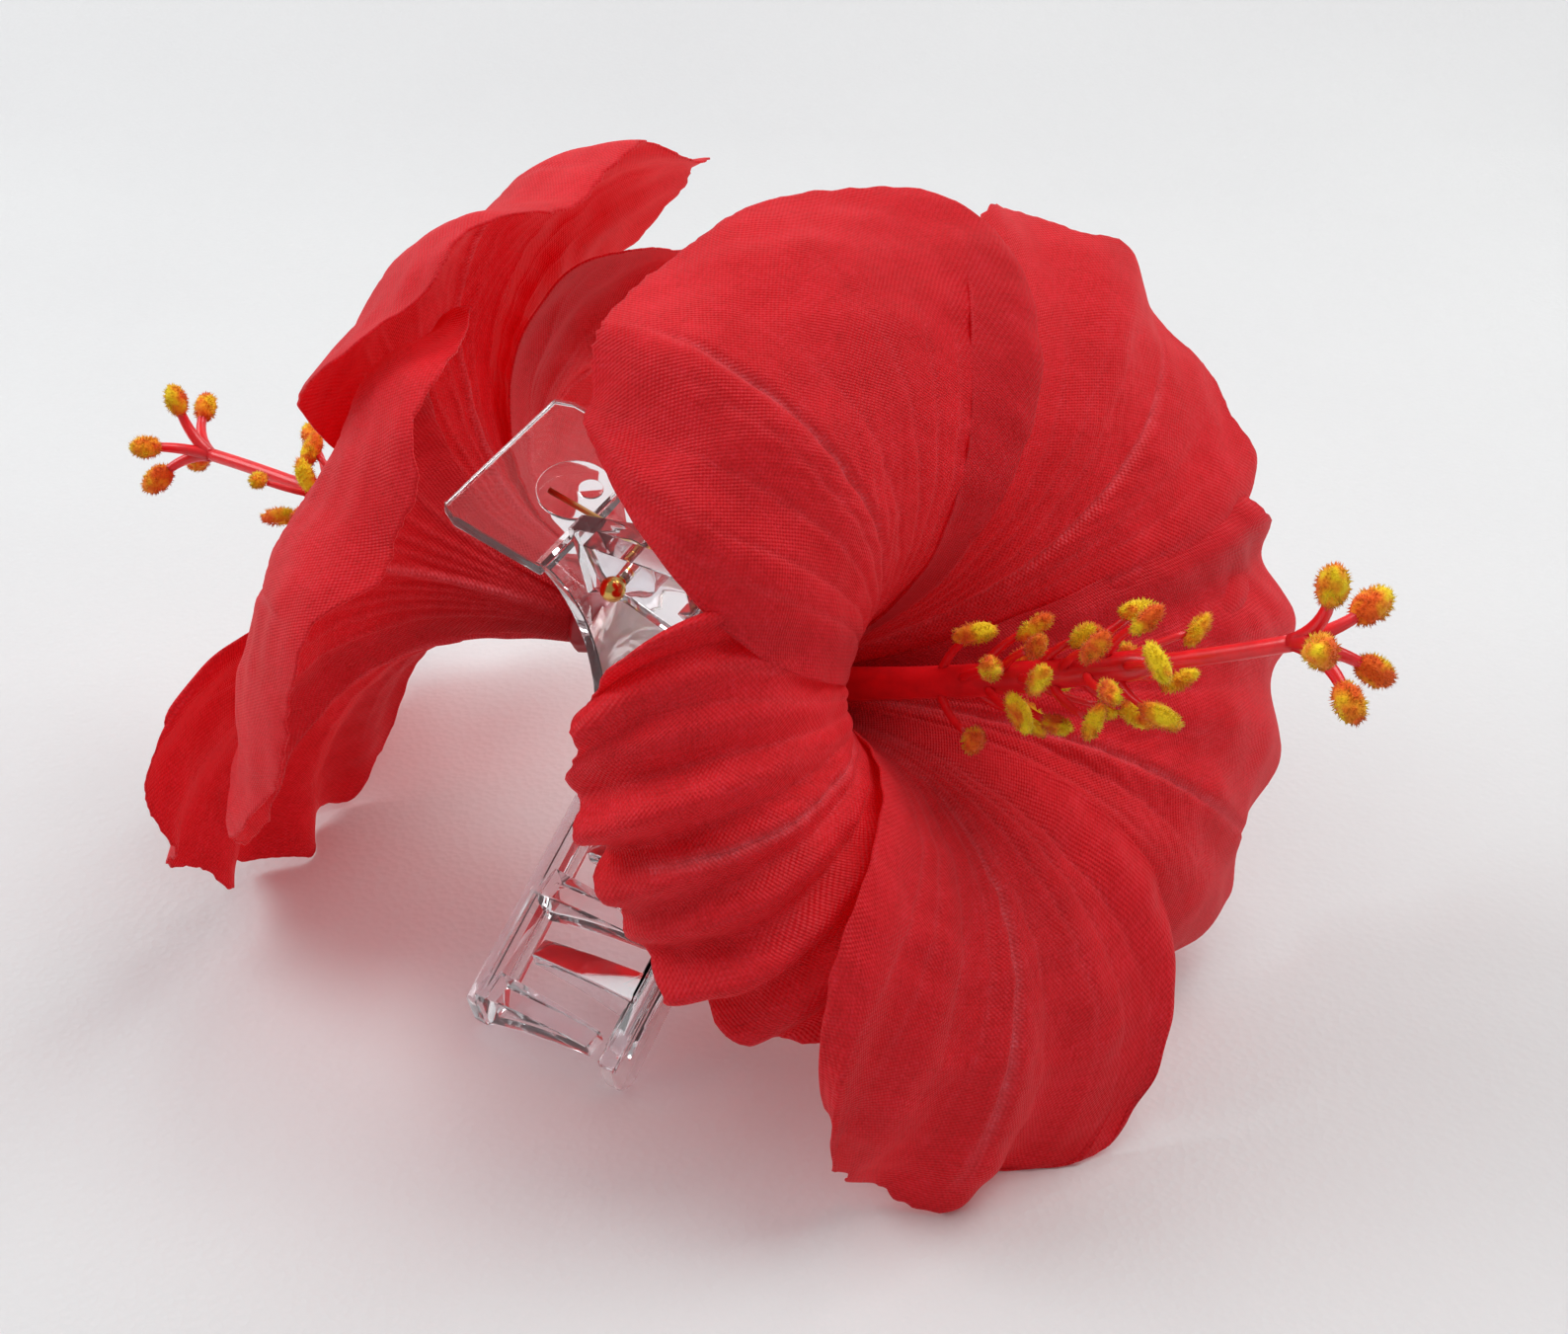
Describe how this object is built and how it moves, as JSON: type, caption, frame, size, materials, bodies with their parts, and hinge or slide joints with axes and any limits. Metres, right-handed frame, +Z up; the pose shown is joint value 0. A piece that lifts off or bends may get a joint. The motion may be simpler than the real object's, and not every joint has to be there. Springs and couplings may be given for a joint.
{
  "type": "flower claw hair clip",
  "caption": "Spring claw clip in clear plastic with interlocking teeth and a red cloth hibiscus glued to each jaw, resting on a table.",
  "frame": {"origin": "centre of the whole object's footprint on the table it rests on", "axes": "+X from the left flower to the right one, +Z up, the hinge runs along Y and rises 15 degrees towards +Y"},
  "size_m": [0.1878, 0.1214, 0.1118],
  "materials": {
    "clear_plastic": "clear moulded acrylic, polished",
    "pin_brass": "polished gilt",
    "spring_wire": "gilt spring wire",
    "hot_glue": "milky hot-melt glue",
    "calyx_plastic": "moulded red plastic",
    "pistil_plastic": "glossy moulded red plastic",
    "anther_flock": "yellow and orange flock",
    "petal_cloth": "woven red polyester, satin sheen"
  },
  "bodies": {
    "left": {"left_jaw": "clear_plastic", "hinge_pin": "pin_brass", "torsion_spring": "spring_wire", "left_glue": "hot_glue", "left_calyx": "calyx_plastic", "left_pistil": "pistil_plastic", "left_anthers": "anther_flock", "left_stigmas": "anther_flock", "left_petal_1": "petal_cloth", "left_petal_2": "petal_cloth", "left_petal_3": "petal_cloth", "left_petal_4": "petal_cloth", "left_petal_5": "petal_cloth"},
    "right": {"right_jaw": "clear_plastic", "right_glue": "hot_glue", "right_calyx": "calyx_plastic", "right_pistil": "pistil_plastic", "right_anthers": "anther_flock", "right_stigmas": "anther_flock", "right_petal_1": "petal_cloth", "right_petal_2": "petal_cloth", "right_petal_3": "petal_cloth", "right_petal_4": "petal_cloth", "right_petal_5": "petal_cloth"}
  },
  "joints": [
    {"name": "jaw_hinge", "type": "hinge", "parent": "left", "child": "right", "pos_m": [0.0017, -0.0037, 0.065], "axis": [0, -0.9659, -0.2588], "range_deg": [0, 32], "stiffness_Nm_per_rad": 0.15, "springref_deg": -57.3, "deforming": ["torsion_spring"]}
  ]
}
